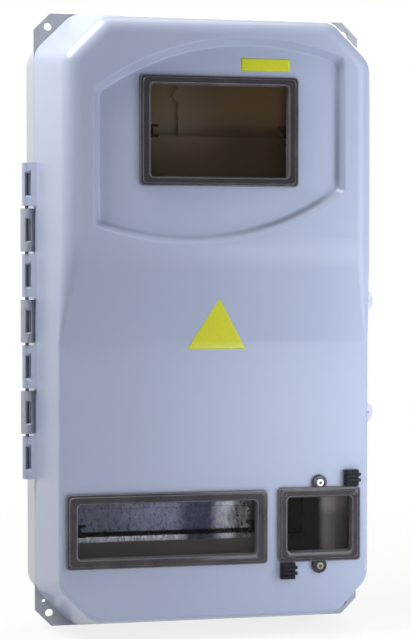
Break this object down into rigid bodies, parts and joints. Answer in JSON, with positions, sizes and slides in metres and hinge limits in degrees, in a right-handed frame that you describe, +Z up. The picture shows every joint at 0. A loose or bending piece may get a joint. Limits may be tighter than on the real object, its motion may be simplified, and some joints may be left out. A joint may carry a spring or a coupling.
{
  "type": "electric meter box",
  "caption": "Wall box for an electricity meter: a shallow tray with corner lugs and a deep stepped door on a side hinge, with smoked windows, a device rail and quarter-turn locks.",
  "frame": {"origin": "middle of the back face of the tray, on the wall plane", "axes": "+Z up, +Y into the wall, +X to the right seen from the front; the door faces -Y"},
  "size_m": [0.3433, 0.157, 0.568],
  "materials": {
    "housing": "satin moulded",
    "foam_seal": "matte foam",
    "grommet_rubber": "matte",
    "dark_steel": "drawn",
    "panel_grey": "matte",
    "zinc_screws": "zinc plated",
    "galvanised_sheet": "spangled zinc",
    "black_plastic": "satin",
    "brass_bar": "machined",
    "smoked_window": "clear smoked",
    "seal_block_grey": "satin",
    "milky_plastic": "translucent"
  },
  "bodies": {
    "base": {"base_tray": "housing", "rim_gasket": "foam_seal", "hinge_pin": "dark_steel", "mounting_panel": "panel_grey", "mounting_panel_screws": "zinc_screws", "device_rail": "galvanised_sheet", "rail_screws": "zinc_screws", "rail_brackets": "galvanised_sheet", "rail_bracket_screws": "zinc_screws", "terminal_holder": "black_plastic", "terminal_holder_screws": "zinc_screws", "terminal_bar": "brass_bar", "terminal_bar_screws": "zinc_screws", "terminal_cover": "black_plastic", "cable_grommets": "grommet_rubber"},
    "door": {"door_shell": "housing", "upper_window": "smoked_window", "upper_window_seal": "foam_seal", "module_window": "smoked_window", "module_window_seal": "foam_seal", "breaker_window": "smoked_window", "breaker_window_seal": "foam_seal", "upper_window_clips": "black_plastic", "module_window_clips": "black_plastic", "breaker_cover_screws": "zinc_screws", "upper_seal_block": "seal_block_grey", "lower_seal_block": "seal_block_grey", "upper_keeper": "galvanised_sheet", "lower_keeper": "galvanised_sheet", "keeper_screws": "zinc_screws"},
    "upper_lock": {"upper_lock_knob": "milky_plastic", "upper_lock_cam": "galvanised_sheet", "upper_lock_cam_screw": "zinc_screws"},
    "lower_lock": {"lower_lock_knob": "milky_plastic", "lower_lock_cam": "galvanised_sheet", "lower_lock_cam_screw": "zinc_screws"}
  },
  "joints": [
    {"name": "door_hinge", "type": "hinge", "parent": "base", "child": "door", "pos_m": [-0.162, -0.0625, 0], "axis": [0, 0, -1], "range_deg": [0, 110]},
    {"name": "upper_lock_turn", "type": "hinge", "parent": "base", "child": "upper_lock", "pos_m": [0.155, -0.048, 0.0175], "axis": [1, 0, 0], "range_deg": [0, 90]},
    {"name": "lower_lock_turn", "type": "hinge", "parent": "base", "child": "lower_lock", "pos_m": [0.155, -0.048, -0.0905], "axis": [1, 0, 0], "range_deg": [0, 90]}
  ]
}
